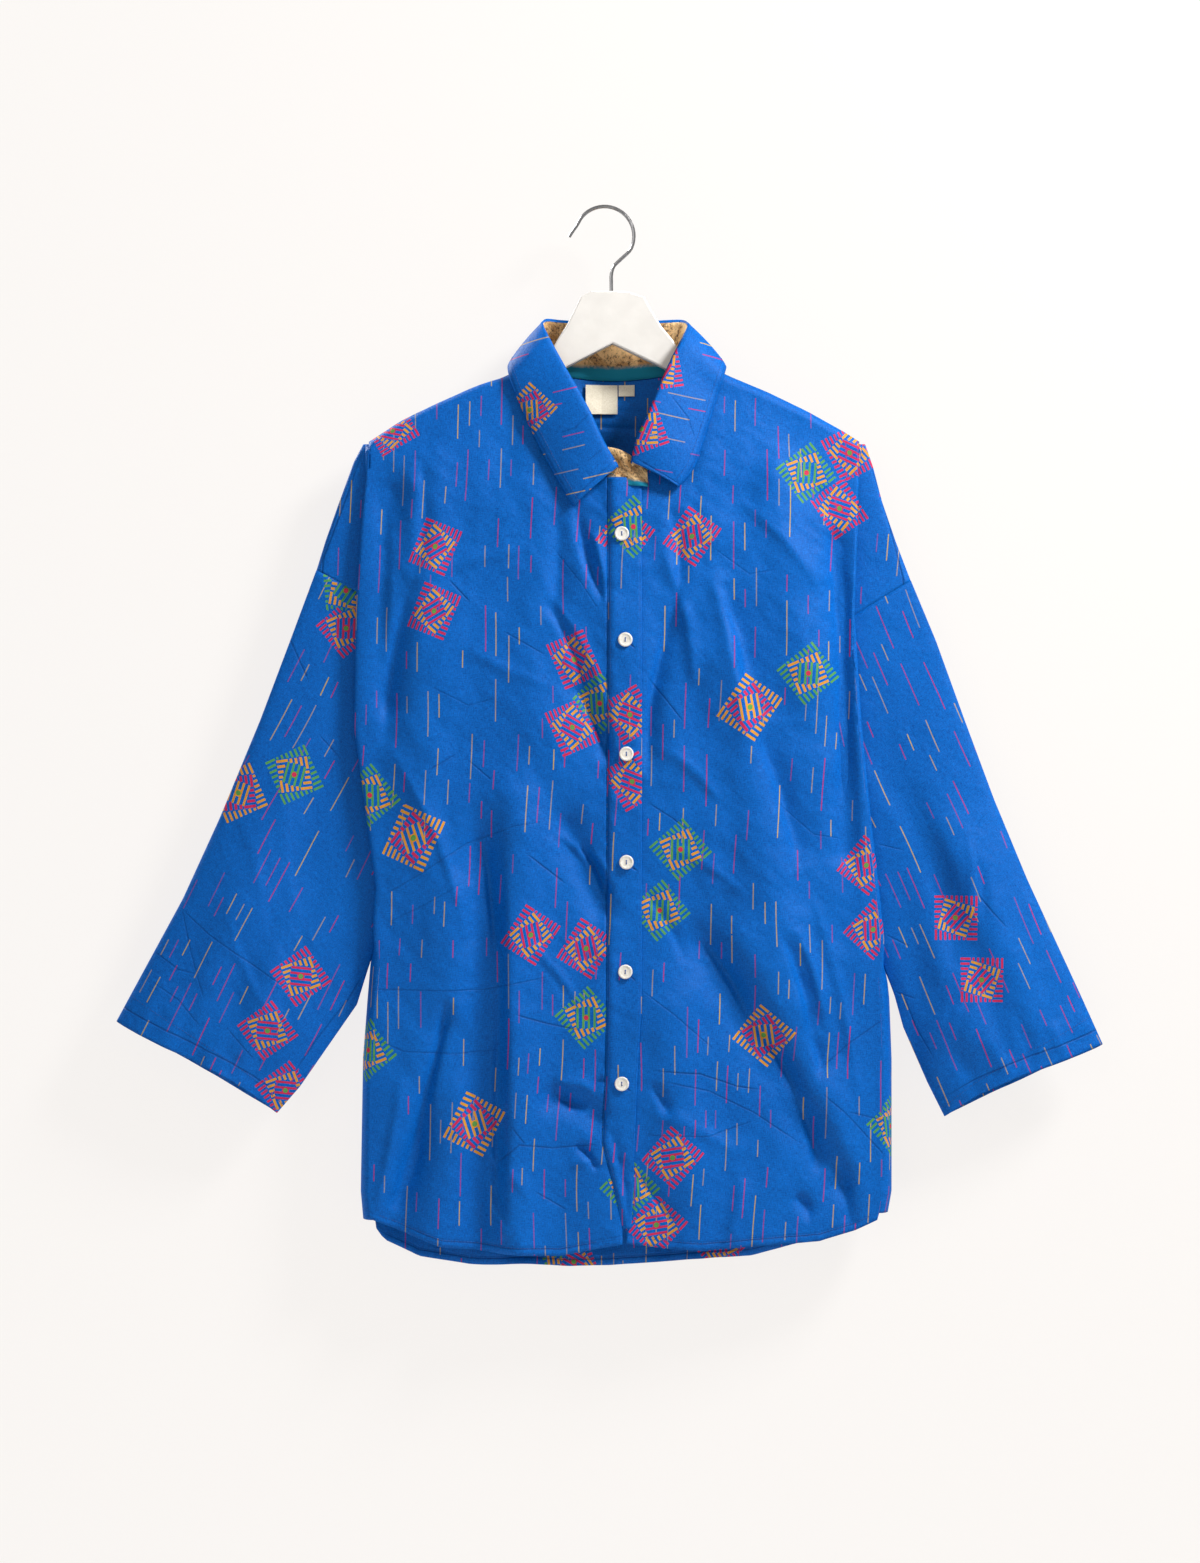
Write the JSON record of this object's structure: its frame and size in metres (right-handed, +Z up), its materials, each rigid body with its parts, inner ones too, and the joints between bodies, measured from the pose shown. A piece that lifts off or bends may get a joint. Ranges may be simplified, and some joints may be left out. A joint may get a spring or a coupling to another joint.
{
  "type": "oversized shirt on a hanger",
  "caption": "Oversized button-front shirt with dropped shoulders, open collar and wide elbow-length sleeves, hung on a flat wooden hanger with a wire hook.",
  "frame": {"origin": "inside top of the hook's bend, where a rail carries it", "axes": "+Z up, -Y out of the shirt's front, +X towards the wearer's left"},
  "size_m": [0.8644, 0.0659, 0.932],
  "materials": {
    "cloth": "bright blue woven cloth with a small printed repeat of gold and crimson bars, slightly silky",
    "collar_band": "mottled brown woven cloth with a teal lower stripe",
    "label": "plain cream woven tape",
    "button": "pearly white with a grey-brown rim",
    "hanger_paint": "white painted flat wood",
    "hook_metal": "bright plated steel rod"
  },
  "bodies": {
    "root": {"front_right": "cloth", "front_left": "cloth", "back": "cloth", "sleeve_right": "cloth", "sleeve_left": "cloth", "collar_stand": "collar_band", "collar_leaf": "cloth", "placket": "cloth", "label_main": "label", "label_size": "label", "hanger": "hanger_paint", "hook": "hook_metal", "button_1": "button", "button_2": "button", "button_3": "button", "button_4": "button", "button_5": "button", "button_6": "button"}
  },
  "joints": []
}
